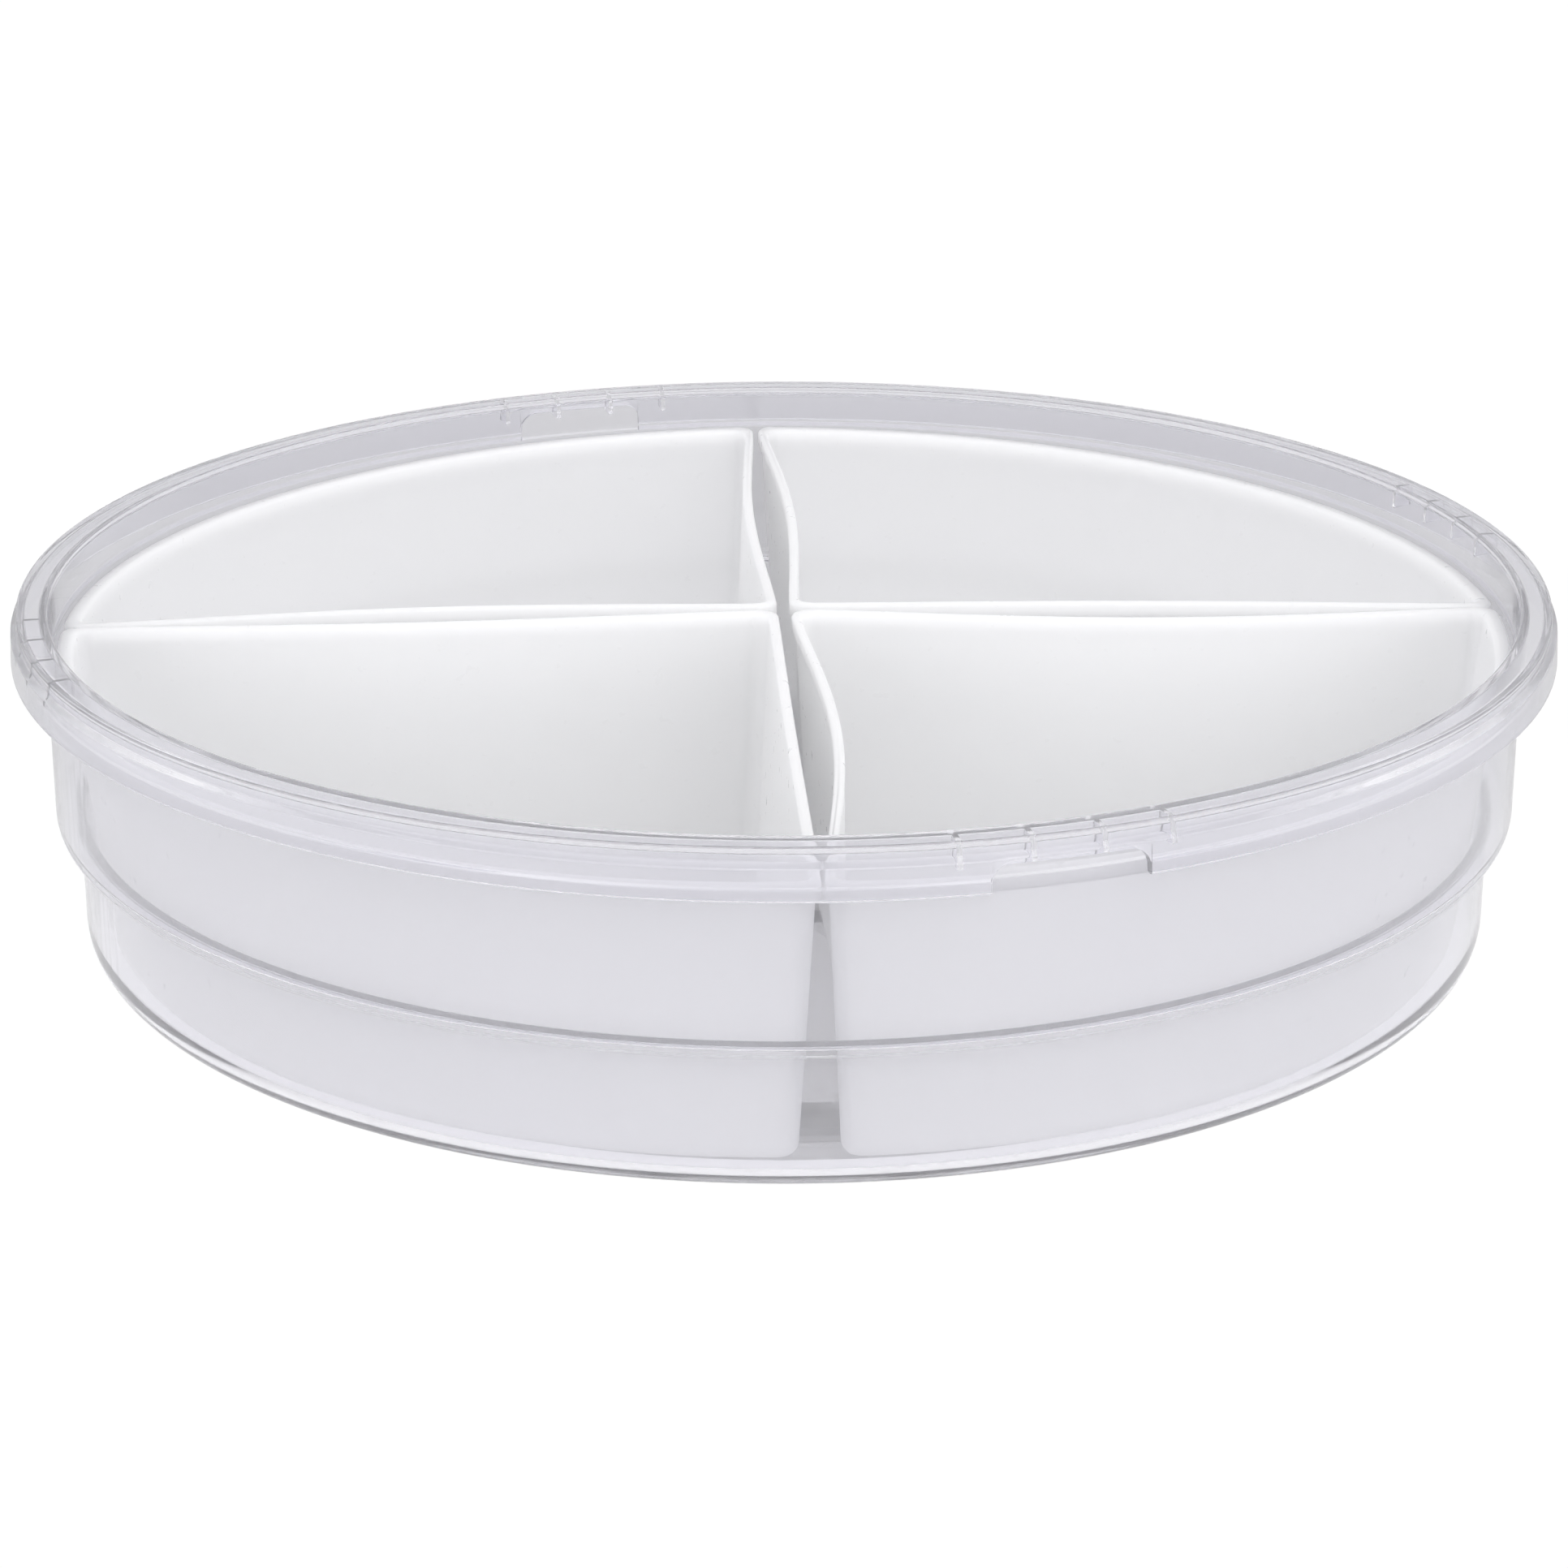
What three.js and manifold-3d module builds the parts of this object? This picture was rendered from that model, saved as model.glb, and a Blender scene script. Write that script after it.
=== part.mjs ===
// Lazy susan organiser: a clear round tub that turns on a ball-bearing base and holds four
// lift-out wedge cups. Millimetres, +Z up. The origin is on the table under the spin axis;
// +X is to the right and -Y is the front. Azimuths are counted from +X, seen from above.

import * as THREE from "three";
import { mergeVertices } from "three/addons/utils/BufferGeometryUtils.js";
import Module from "manifold-3d";

// ---------------------------------------------------------------- driving dimensions

// Tub: a stepped drum with a flat rim and a skirt hanging from the rim.
const HEIGHT = 75;          // table to rim top
const RIM_R = 149.6;        // outer edge of the flat rim
const MOUTH_R = 143.6;      // inner edge of the flat rim
const SKIRT_R = 151;        // bottom edge of the skirt
const SKIRT_DEPTH = 9.3;
const SHEET = 1.5;          // thickness of rim and skirt
const UPPER_R = 144.3;      // outside of the upper drum
const LOWER_R = 139.7;      // outside of the lower drum
const STEP_DEPTH = 40.4;    // rim top to the step between the drums
const UPPER_WALL = 1.2;
const LOWER_WALL = 1.5;
const MOUTH_DEPTH = 9.4;    // rim top to the end of the mouth's inside taper
const TUB_BASE_Z = 8;       // underside of the tub's floor
const FLOOR = 1.8;
const FOOT_RADIUS = 5;      // outer rounding between floor and wall
const BOSS_R = 22;          // raised disc in the middle of the floor, under the tips of the cups
const BOSS_HIGH = 2;
const TUB_SEGMENTS = 60;

// Four stations around the rim, each with webs in its channel. The back and the front ones also
// have an arched notch in the skirt.
const STATIONS = [0, 1, 2, 3];
const NOTCHED_STATIONS = [1, 3];
const STATION_AZIMUTH = 18.5;
const NOTCH_HALF_ANGLE = 5.4;
const NOTCH_TOP_DEPTH = 4.5;
const NOTCH_CORNER = 3.5;
const WEB_THICK = 1;
const WEB_HEIGHT = 3.8;
const WEB_PITCH = 4.9;      // degrees between neighbouring webs

// Cups: quarter wedges with a rolled rim; their sides bow in to leave a finger gap. Each cup is
// modelled level and then tilted, because its tip rests on the boss and its arc on the floor.
const CUP_TOP = HEIGHT - 9.3;
const CUP_BOTTOM = 10.1;
const CUP_WALL = 1.2;
const CUP_RIM_R = 141.5;
const CUP_RIM_DEPTH = 3.2;
const CUP_TILT = 1.1;       // degrees
const CUP_PIVOT_R = 130.5;  // where the tilted foot meets the floor
const HALF_GAP_TIP = 0.5;   // division line to the level rim, at the tip and at the arc
const HALF_GAP_ARC = -0.4;
const CUP_CORNER = 3.5;
const CUP_TIP = 3.5;
const CUP_FOOT = 4.5;       // rounding between floor and wall, outside
const RIM_EDGE = 0.8;       // rounding of the cup rim's outer edge
const BOW_POWER = 1.2;
// Inset of the outer arc and of the sides from the rim's outline.
const WALL_TOP_INSET = { arc: 2, side: 0.8 };
const WALL_FOOT_INSET = { arc: 6.6, side: 4 };
const CUPS = {
  cup_back_right: { azimuth: 45, turn: 2.6, bowCw: 1.52, bowCcw: 2.77 },
  cup_back_left: { azimuth: 135, turn: 2.8, bowCw: 2.23, bowCcw: 4.18 },
  cup_front_left: { azimuth: 225, turn: 2.7, bowCw: 2.1, bowCcw: 0.25 },
  cup_front_right: { azimuth: 315, turn: 2.6, bowCw: 4.63, bowCcw: 5.47 },
};

// Bearing: steel balls in a cage between the base's track and the race under the tub.
const BALL_COUNT = 12;
const BALL_R = 2;
const TRACK_R = 110;
const BALL_Z = 4.4;
const RACE = { inner: 104.5, outer: 115.5, low: 6.1, high: 7.7, groove: 6.75 };
const CAGE = { inner: 105.2, outer: 114.8, low: 3.95, high: 4.85, pocket: 2.35 };

// Base: a round plate with a track, a hub, ribs and a raised edge.
const BASE_R = 118;
const BASE_LOW = 1;
const BASE_HIGH = 2.8;
const BASE_EDGE_HIGH = 5.6;
const RAIL_HIGH = 3.6;
const GROOVE_LOW = 2.05;
const HUB_R = 11.5;
const HUB_HIGH = 7.2;
const RIB_COUNT = 6;
const RIB = { inner: 11, outer: 104.4, width: 1.6, high: 4.6 };

// Pivot: a spigot under the tub's floor, held in the base's hub by a washer and a screw.
const SPIGOT_R = 6;
const SPIGOT_END = 2.6;
const BORE_R = 6.35;
const SCREW_HOLE = { r: 1.9, top: 7.2 };
const WASHER = { inner: 2.1, outer: 8.6, low: 1.5, high: 2.3 };
const WASHER_WELL_R = 9.3;
const SCREW = { shank: 1.5, head: 3.6, low: 0.45, shoulder: 1.2, tip: 6.6 };

// Feet: soft discs let into the underside of the base.
const FOOT_COUNT = 6;
const FOOT = { r: 7, ring: 99, high: 1.3, wellR: 7.4, wellTop: 1.6 };

// ---------------------------------------------------------------- materials

const CLEAR = new THREE.MeshStandardMaterial({ color: 0xdddce2, roughness: 0.08, metalness: 0 });
const WHITE = new THREE.MeshStandardMaterial({ color: 0xf1f1f3, roughness: 0.3, metalness: 0 });
const BASE_WHITE = new THREE.MeshStandardMaterial({ color: 0xe4e4e2, roughness: 0.5, metalness: 0 });
const STEEL = new THREE.MeshStandardMaterial({ color: 0xb9bcc0, roughness: 0.25, metalness: 1 });
const RUBBER = new THREE.MeshStandardMaterial({ color: 0xcfcfcf, roughness: 0.8, metalness: 0 });

// ---------------------------------------------------------------- solids

const wasm = await Module();
wasm.setup();

function solidOf(geometry) {
  const plain = geometry.clone();
  plain.deleteAttribute("normal");
  plain.deleteAttribute("uv");
  const merged = mergeVertices(plain, 1e-4);
  return new wasm.Manifold(new wasm.Mesh({
    numProp: 3,
    vertProperties: new Float32Array(merged.attributes.position.array),
    triVerts: new Uint32Array(merged.index.array),
  }));
}

function geometryOf(solid) {
  const mesh = solid.getMesh();
  const geometry = new THREE.BufferGeometry();
  geometry.setAttribute("position", new THREE.BufferAttribute(mesh.vertProperties, 3));
  geometry.setIndex(new THREE.BufferAttribute(mesh.triVerts, 1));
  geometry.computeVertexNormals();
  return geometry;
}

// Turns an outline of [radius, height] pairs about +Z.
function turned(outline, segments) {
  const points = outline.map(([r, z]) => new THREE.Vector2(r, z));
  return new THREE.LatheGeometry(points, segments).rotateX(Math.PI / 2);
}

function radians(degrees) {
  return THREE.MathUtils.degToRad(degrees);
}

// Points of a circular fillet between two angles, as [radius, height] pairs.
function fillet(centreR, centreZ, radius, fromDegrees, toDegrees, steps) {
  return Array.from({ length: steps + 1 }, (_, i) => {
    const angle = radians(fromDegrees + ((toDegrees - fromDegrees) * i) / steps);
    return [centreR + radius * Math.cos(angle), centreZ + radius * Math.sin(angle)];
  });
}

// A block whose length runs outward along an azimuth, between two radii and two heights.
function radialBlock(azimuth, inner, outer, low, high, width) {
  const block = new THREE.BoxGeometry(outer - inner, width, high - low);
  block.translate((inner + outer) / 2, 0, (low + high) / 2);
  return block.rotateZ(radians(azimuth));
}

// ---------------------------------------------------------------- tub

function tubOutline() {
  const stepZ = HEIGHT - STEP_DEPTH;
  const skirtLow = HEIGHT - SKIRT_DEPTH;
  const floorTop = TUB_BASE_Z + FLOOR;
  const lowerInside = LOWER_R - LOWER_WALL;
  const upperInside = UPPER_R - UPPER_WALL;
  const innerRound = FOOT_RADIUS - 0.5;
  return [
    [0, SCREW_HOLE.top],
    [SCREW_HOLE.r, SCREW_HOLE.top],
    [SCREW_HOLE.r, SPIGOT_END],
    [SPIGOT_R, SPIGOT_END],
    [SPIGOT_R, TUB_BASE_Z],
    ...fillet(LOWER_R - FOOT_RADIUS, TUB_BASE_Z + FOOT_RADIUS, FOOT_RADIUS, -90, 0, 4),
    [LOWER_R, stepZ - 0.8],
    [LOWER_R + 0.8, stepZ],
    [UPPER_R - 0.8, stepZ],
    [UPPER_R, stepZ + 0.8],
    [UPPER_R, skirtLow],
    [UPPER_R + 0.6, skirtLow + 1],
    [UPPER_R + 0.6, HEIGHT - SHEET],
    [RIM_R - SHEET, HEIGHT - SHEET],
    [SKIRT_R - SHEET, skirtLow],
    [SKIRT_R, skirtLow],
    [SKIRT_R - 0.3, HEIGHT - 3.4],
    [RIM_R, HEIGHT - 2.4],
    [RIM_R, HEIGHT - 0.6],
    [RIM_R - 0.6, HEIGHT],
    [MOUTH_R + 0.5, HEIGHT],
    [MOUTH_R, HEIGHT - 0.5],
    [upperInside, HEIGHT - MOUTH_DEPTH],
    [upperInside, stepZ + 2],
    [upperInside - 0.6, stepZ + 1.4],
    [lowerInside + 0.6, stepZ + 1.4],
    [lowerInside, stepZ + 0.8],
    ...fillet(lowerInside - innerRound, floorTop + innerRound, innerRound, 0, -90, 4),
    [BOSS_R + 1, floorTop],
    [BOSS_R, floorTop + BOSS_HIGH],
    [0, floorTop + BOSS_HIGH],
  ];
}

// Arch that cuts the skirt from its bottom edge up to the notch top.
function notchCutter(azimuth) {
  const halfWidth = SKIRT_R * Math.sin(radians(NOTCH_HALF_ANGLE));
  const low = HEIGHT - SKIRT_DEPTH - 1;
  const high = HEIGHT - NOTCH_TOP_DEPTH;
  const arch = new THREE.Shape();
  arch.moveTo(-halfWidth, low);
  arch.lineTo(halfWidth, low);
  arch.lineTo(halfWidth, high - NOTCH_CORNER);
  arch.absarc(halfWidth - NOTCH_CORNER, high - NOTCH_CORNER, NOTCH_CORNER, 0, Math.PI / 2);
  arch.absarc(NOTCH_CORNER - halfWidth, high - NOTCH_CORNER, NOTCH_CORNER, Math.PI / 2, Math.PI);
  const cutter = new THREE.ExtrudeGeometry(arch, { depth: 8, bevelEnabled: false, curveSegments: 3 });
  cutter.rotateX(Math.PI / 2);
  cutter.translate(0, UPPER_R + 9.5, 0);
  return cutter.rotateZ(radians(azimuth - 90));
}

// Short webs across the channel under the rim.
function stationWebs(azimuth) {
  const inner = UPPER_R + 0.2;
  const underRim = HEIGHT - SHEET + 0.3;
  return [-1.5, -0.5, 0.5, 1.5].map((n) => radialBlock(
    azimuth + n * WEB_PITCH, inner, RIM_R - 1, underRim - WEB_HEIGHT, underRim, WEB_THICK));
}

function tub() {
  let solid = solidOf(turned(tubOutline(), TUB_SEGMENTS));
  for (const station of STATIONS) {
    const azimuth = STATION_AZIMUTH + 90 * station;
    if (NOTCHED_STATIONS.includes(station)) solid = solid.subtract(solidOf(notchCutter(azimuth)));
    for (const web of stationWebs(azimuth)) solid = solid.add(solidOf(web));
  }
  return geometryOf(solid);
}

// ---------------------------------------------------------------- cups

// Outline of a quarter wedge that opens about +X, inset from the cup's rim outline.
// The bow of each side fades from the rim (fade 1) to the foot.
function wedgeOutline(inset, fade, bowCw, bowCcw) {
  const acrossTip = HALF_GAP_TIP + inset.side;
  const acrossArc = HALF_GAP_ARC + inset.side;
  const arcR = CUP_RIM_R - inset.arc;
  const corner = Math.max(CUP_CORNER - inset.side / 2, 2);
  const tip = CUP_TIP;
  const cornerAcross = acrossArc + corner;
  const cornerAlong = Math.sqrt((arcR - corner) ** 2 - cornerAcross ** 2);
  const tipAlong = acrossTip + tip;
  const lean = Math.atan2(cornerAcross, cornerAlong);

  // Half of the outline, in a frame whose first axis runs along the division line.
  const half = (bow) => {
    const tipArc = [45, 22.5, 0].map((d) => [
      tipAlong - tip * Math.cos(radians(90 - d)), acrossTip + tip - tip * Math.cos(radians(d))]);
    const side = [0.12, 0.25, 0.38, 0.5, 0.62, 0.75, 0.88].map((t) => [
      tipAlong + (cornerAlong - tipAlong) * t,
      acrossTip + (acrossArc - acrossTip) * t + bow * fade * Math.sin(Math.PI * t) ** BOW_POWER]);
    const cornerArc = [0, 0.5, 1].map((t) => {
      const angle = -Math.PI / 2 + (Math.PI / 2 + lean) * t;
      return [cornerAlong + corner * Math.cos(angle), cornerAcross + corner * Math.sin(angle)];
    });
    const arc = [0.2, 0.4, 0.6, 0.8].map((t) => {
      const angle = lean + (Math.PI / 4 - lean) * t;
      return [arcR * Math.cos(angle), arcR * Math.sin(angle)];
    });
    return [...tipArc, ...side, ...cornerArc, ...arc];
  };

  const lower = half(bowCw).map(([along, off]) => new THREE.Vector2(along, off));
  const upper = half(bowCcw).map(([along, off]) => new THREE.Vector2(along, -off));
  const middle = new THREE.Vector2(arcR * Math.SQRT1_2, arcR * Math.SQRT1_2);
  for (const point of [...lower, middle]) point.rotateAround(new THREE.Vector2(), -Math.PI / 4);
  for (const point of upper) point.rotateAround(new THREE.Vector2(), Math.PI / 4);
  return [...lower, middle, ...upper.slice(1).reverse()];
}

// Heights and insets of the cup's skin, from the middle of its underside to the middle of its floor.
function cupRings() {
  const wallFoot = WALL_FOOT_INSET;
  const wallTop = WALL_TOP_INSET;
  const innerRound = CUP_FOOT - CUP_WALL;
  const more = (inset, extra) => ({ arc: inset.arc + extra, side: inset.side + extra });
  const rounded = (inset, radius, bottom, angles) => angles.map((d) => ({
    z: bottom + radius * (1 - Math.cos(radians(d))),
    inset: more(inset, radius * (1 - Math.sin(radians(d)))),
    fade: 0.5,
  }));
  return [
    ...rounded(wallFoot, CUP_FOOT, CUP_BOTTOM, [0, 30, 60, 90]),
    { z: CUP_TOP - CUP_RIM_DEPTH, inset: wallTop, fade: 1 },
    { z: CUP_TOP - CUP_RIM_DEPTH, inset: { arc: 0, side: 0 }, fade: 1 },
    { z: CUP_TOP - RIM_EDGE, inset: { arc: 0, side: 0 }, fade: 1 },
    { z: CUP_TOP, inset: { arc: RIM_EDGE, side: RIM_EDGE }, fade: 1 },
    { z: CUP_TOP - 0.2, inset: more(wallTop, CUP_WALL - 0.4), fade: 1 },
    { z: CUP_TOP - 1.2, inset: more(wallTop, CUP_WALL), fade: 1 },
    ...rounded(more(wallFoot, CUP_WALL), innerRound, CUP_BOTTOM + CUP_WALL, [90, 60, 30, 0]),
  ];
}

// Skins a stack of equal-count outlines and closes both ends with a fan.
function skinned(rings) {
  const count = rings[0].length;
  const positions = [];
  const index = [];
  for (const ring of rings) for (const p of ring) positions.push(p.x, p.y, p.z);
  for (let r = 0; r + 1 < rings.length; r += 1) {
    for (let i = 0; i < count; i += 1) {
      const a = r * count + i;
      const b = r * count + ((i + 1) % count);
      index.push(a, b, b + count, a, b + count, a + count);
    }
  }
  const cap = (ring, start, flip) => {
    const middle = ring.reduce((sum, p) => sum.add(p), new THREE.Vector3()).divideScalar(count);
    const hub = positions.length / 3;
    positions.push(middle.x, middle.y, middle.z);
    for (let i = 0; i < count; i += 1) {
      const a = start + i;
      const b = start + ((i + 1) % count);
      index.push(...(flip ? [b, a, hub] : [a, b, hub]));
    }
  };
  cap(rings[0], 0, true);
  cap(rings.at(-1), (rings.length - 1) * count, false);
  const geometry = new THREE.BufferGeometry();
  geometry.setAttribute("position", new THREE.Float32BufferAttribute(positions, 3));
  geometry.setIndex(index);
  geometry.computeVertexNormals();
  return geometry;
}

function cup({ azimuth, turn, bowCw, bowCcw }) {
  const rings = cupRings().map(({ z, inset, fade }) => (
    wedgeOutline(inset, fade, bowCw, bowCcw).map((p) => new THREE.Vector3(p.x, p.y, z))));
  const level = skinned(rings).translate(-CUP_PIVOT_R, 0, -CUP_BOTTOM);
  const tilted = level.rotateY(radians(CUP_TILT)).translate(CUP_PIVOT_R, 0, CUP_BOTTOM);
  return tilted.rotateZ(radians(azimuth + turn));
}

// ---------------------------------------------------------------- bearing

function upperRace() {
  const { inner, outer, low, high, groove } = RACE;
  return turned([
    [inner, low],
    [TRACK_R - 2, low],
    [TRACK_R - 1, groove - 0.15],
    [TRACK_R, groove],
    [TRACK_R + 1, groove - 0.15],
    [TRACK_R + 2, low],
    [outer, low],
    [outer, high],
    [inner, high],
    [inner, low],
  ], 48);
}

function ballPlace(n) {
  const angle = (2 * Math.PI * n) / BALL_COUNT;
  return new THREE.Vector3(TRACK_R * Math.cos(angle), TRACK_R * Math.sin(angle), BALL_Z);
}

function ballCage() {
  const { inner, outer, low, high, pocket } = CAGE;
  let ring = solidOf(turned([[inner, low], [outer, low], [outer, high], [inner, high], [inner, low]], 48));
  for (let n = 0; n < BALL_COUNT; n += 1) {
    const hole = new THREE.CylinderGeometry(pocket, pocket, 4, 14).rotateX(Math.PI / 2);
    const { x, y, z } = ballPlace(n);
    ring = ring.subtract(solidOf(hole.translate(x, y, z)));
  }
  return geometryOf(ring);
}

// ---------------------------------------------------------------- base and pivot

function baseOutline() {
  return [
    [BORE_R, SPIGOT_END],
    [WASHER_WELL_R, SPIGOT_END],
    [WASHER_WELL_R, BASE_LOW],
    [BASE_R - 1, BASE_LOW],
    [BASE_R, BASE_LOW + 1],
    [BASE_R, BASE_EDGE_HIGH],
    [BASE_R - 1.5, BASE_EDGE_HIGH],
    [BASE_R - 1.5, BASE_HIGH],
    [TRACK_R + 3.8, BASE_HIGH],
    [TRACK_R + 3.8, RAIL_HIGH],
    [TRACK_R + 2.3, RAIL_HIGH],
    [TRACK_R + 1, GROOVE_LOW + 0.15],
    [TRACK_R, GROOVE_LOW],
    [TRACK_R - 1, GROOVE_LOW + 0.15],
    [TRACK_R - 2.3, RAIL_HIGH],
    [TRACK_R - 3.8, RAIL_HIGH],
    [TRACK_R - 3.8, BASE_HIGH],
    [HUB_R, BASE_HIGH],
    [HUB_R, HUB_HIGH],
    [BORE_R, HUB_HIGH],
    [BORE_R, SPIGOT_END],
  ];
}

function footPlace(n) {
  const angle = radians(30 + (360 * n) / FOOT_COUNT);
  return new THREE.Vector2(FOOT.ring * Math.cos(angle), FOOT.ring * Math.sin(angle));
}

function basePlate() {
  let solid = solidOf(turned(baseOutline(), 48));
  for (let n = 0; n < RIB_COUNT; n += 1) {
    const azimuth = (360 * n) / RIB_COUNT;
    const rib = radialBlock(azimuth, RIB.inner, RIB.outer, BASE_HIGH - 0.5, RIB.high, RIB.width);
    solid = solid.add(solidOf(rib));
  }
  for (let n = 0; n < FOOT_COUNT; n += 1) {
    const well = new THREE.CylinderGeometry(FOOT.wellR, FOOT.wellR, 2, 20).rotateX(Math.PI / 2);
    const { x, y } = footPlace(n);
    solid = solid.subtract(solidOf(well.translate(x, y, FOOT.wellTop - 1)));
  }
  return geometryOf(solid);
}

function foot(n) {
  const disc = turned([[0, 0], [FOOT.r - 0.4, 0], [FOOT.r, 0.4], [FOOT.r, FOOT.high], [0, FOOT.high]], 20);
  const { x, y } = footPlace(n);
  return disc.translate(x, y, 0);
}

function washer() {
  const { inner, outer, low, high } = WASHER;
  return turned([[inner, low], [outer, low], [outer, high], [inner, high], [inner, low]], 24);
}

function screw() {
  return turned([
    [0, SCREW.low],
    [SCREW.head - 1, SCREW.low],
    [SCREW.head, SCREW.low + 0.4],
    [SCREW.head, SCREW.shoulder],
    [SCREW.shank, SCREW.shoulder],
    [SCREW.shank, SCREW.tip - 0.8],
    [0, SCREW.tip],
  ], 16);
}

// ---------------------------------------------------------------- assembly

const organiser = new THREE.Group();

function place(name, geometry, material) {
  const mesh = new THREE.Mesh(geometry, material);
  mesh.name = name;
  organiser.add(mesh);
}

place("tub", tub(), CLEAR);
for (const [name, shape] of Object.entries(CUPS)) place(name, cup(shape), WHITE);
place("upper_race", upperRace(), BASE_WHITE);
place("ball_cage", ballCage(), BASE_WHITE);
for (let n = 0; n < BALL_COUNT; n += 1) {
  const { x, y, z } = ballPlace(n);
  const ball = new THREE.SphereGeometry(BALL_R, 10, 6).rotateX(Math.PI / 2);
  place(`ball_${String(n + 1).padStart(2, "0")}`, ball.translate(x, y, z), STEEL);
}
place("base_plate", basePlate(), BASE_WHITE);
place("pivot_washer", washer(), STEEL);
place("pivot_screw", screw(), STEEL);
for (let n = 0; n < FOOT_COUNT; n += 1) place(`foot_${n + 1}`, foot(n), RUBBER);

export default organiser;
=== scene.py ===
"""Looks for the lazy susan turntable: a clear tub on a low ball-bearing base, with four white cups.

Lengths are in millimetres and turned into metres where a mesh is made. Azimuths are in degrees,
counted from +X as seen from above. The front is -Y.
"""
import math

import bmesh
import bpy
import numpy as np
from mathutils import Matrix, Vector


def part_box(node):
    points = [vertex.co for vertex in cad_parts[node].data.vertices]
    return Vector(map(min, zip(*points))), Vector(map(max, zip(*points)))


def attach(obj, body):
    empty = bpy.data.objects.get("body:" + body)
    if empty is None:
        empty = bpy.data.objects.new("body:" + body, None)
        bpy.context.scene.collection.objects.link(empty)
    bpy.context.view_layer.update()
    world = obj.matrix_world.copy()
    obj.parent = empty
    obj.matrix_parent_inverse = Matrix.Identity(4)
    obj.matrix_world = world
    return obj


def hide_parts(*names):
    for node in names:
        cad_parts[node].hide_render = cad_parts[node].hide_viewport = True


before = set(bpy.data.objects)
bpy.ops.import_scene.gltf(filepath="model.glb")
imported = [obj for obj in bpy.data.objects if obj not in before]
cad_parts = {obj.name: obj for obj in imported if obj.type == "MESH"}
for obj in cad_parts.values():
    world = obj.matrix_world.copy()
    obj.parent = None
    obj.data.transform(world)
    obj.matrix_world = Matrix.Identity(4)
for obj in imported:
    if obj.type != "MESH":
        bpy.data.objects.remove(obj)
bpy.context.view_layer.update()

MM = 0.001


def box_top(node):
    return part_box(node)[1].z / MM


def box_bottom(node):
    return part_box(node)[0].z / MM


def box_radius(node):
    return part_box(node)[1].x / MM


# ---------------------------------------------------------------- sizes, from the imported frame

HEIGHT = box_top("tub")
SKIRT_R = box_radius("tub")
CUP_BOTTOM = box_bottom("cup_back_right")
RACE_LOW, RACE_HIGH = box_bottom("upper_race"), box_top("upper_race")
RACE_OUTER = box_radius("upper_race")
CAGE_LOW, CAGE_HIGH = box_bottom("ball_cage"), box_top("ball_cage")
CAGE_OUTER = box_radius("ball_cage")
BASE_R = box_radius("base_plate")
BASE_LOW = box_bottom("base_plate")
WASHER_LOW, WASHER_HIGH = box_bottom("pivot_washer"), box_top("pivot_washer")
WASHER_R = box_radius("pivot_washer")
SCREW_LOW, SCREW_TIP = box_bottom("pivot_screw"), box_top("pivot_screw")
FOOT_HIGH = box_top("foot_1")

# ---------------------------------------------------------------- sizes, tub

RIM_R = SKIRT_R - 1.4
MOUTH_R = SKIRT_R - 7.4
UPPER_R = SKIRT_R - 6.7
LOWER_R = SKIRT_R - 11.3
SHEET = 1.5
SKIRT_DEPTH = 9.3
STEP_Z = HEIGHT - 40.4
MOUTH_DEPTH = 9.4           # rim top to the end of the mouth's inside taper
UPPER_WALL = 1.2
LOWER_WALL = 1.5
TUB_BASE_Z = 8.0
FLOOR = 1.8
FOOT_RADIUS = 5.0
BOSS_R = 22.0               # raised disc in the floor's middle, under the tips of the cups
BOSS_HIGH = 2.0

STATIONS = [                # azimuth, and whether the skirt is notched there
    (18.5, False),
    (108.5, True),
    (198.5, False),
    (288.5, True),
]
NOTCH_HALF_ANGLE = 5.4
NOTCH_TOP_DEPTH = 4.5
NOTCH_CORNER = 3.5
WEB_THICK = 1.0
WEB_DEPTH = 5.0
WEB_PITCH = 4.9
WEB_OFFSETS = [n * WEB_PITCH for n in (-1.5, -0.5, 0.5, 1.5)]
WEB_LEAN = 0.04             # how far a web's side leans over its height
PLAIN_OFFSETS = [-8.6, -4, -3.2, -1.6, -0.8, 0, 0.8, 1.6, 3.2, 4, 8.6]     # columns beside the webs
COLUMN_PITCH = 0.75         # degrees between the tub's plain columns
SUPPORT = 0.25              # distance of the loop that keeps a flat face flat beside a rounding

# ---------------------------------------------------------------- sizes, cups

CUP_TOP = HEIGHT - 9.3      # of the level cup, before it is tilted
CUP_WALL = 1.2
CUP_RIM_R = 141.5
CUP_RIM_DEPTH = 3.2
CUP_TILT = 1.1              # degrees, because the tip rests on the boss and the arc on the floor
CUP_PIVOT_R = 130.5         # where the tilted foot meets the floor
HALF_GAP_TIP = 0.5          # division line to the level rim, at the tip and at the arc
HALF_GAP_ARC = -0.4
BOW_POWER = 1.2
CUP_CORNER = 3.5
CUP_TIP = 3.5
CUP_FOOT = 4.5
RIM_EDGE = 0.9              # rounding of the cup rim's outer edge
RIM_ROLL = 1.1              # rounding from the rim's top into the inner wall
WALL_TOP_INSET = np.array([2.0, 0.8])     # of the outer arc and of the sides
WALL_FOOT_INSET = np.array([6.6, 4.0])
CUPS = {                    # azimuth, turn, bow of the clockwise side, of the other side
    "cup_back_right": (45, 2.6, 1.52, 2.77),
    "cup_back_left": (135, 2.8, 2.23, 4.18),
    "cup_front_left": (225, 2.7, 2.1, 0.25),
    "cup_front_right": (315, 2.6, 4.63, 5.47),
}

# ---------------------------------------------------------------- sizes, bearing, base and pivot

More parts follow.
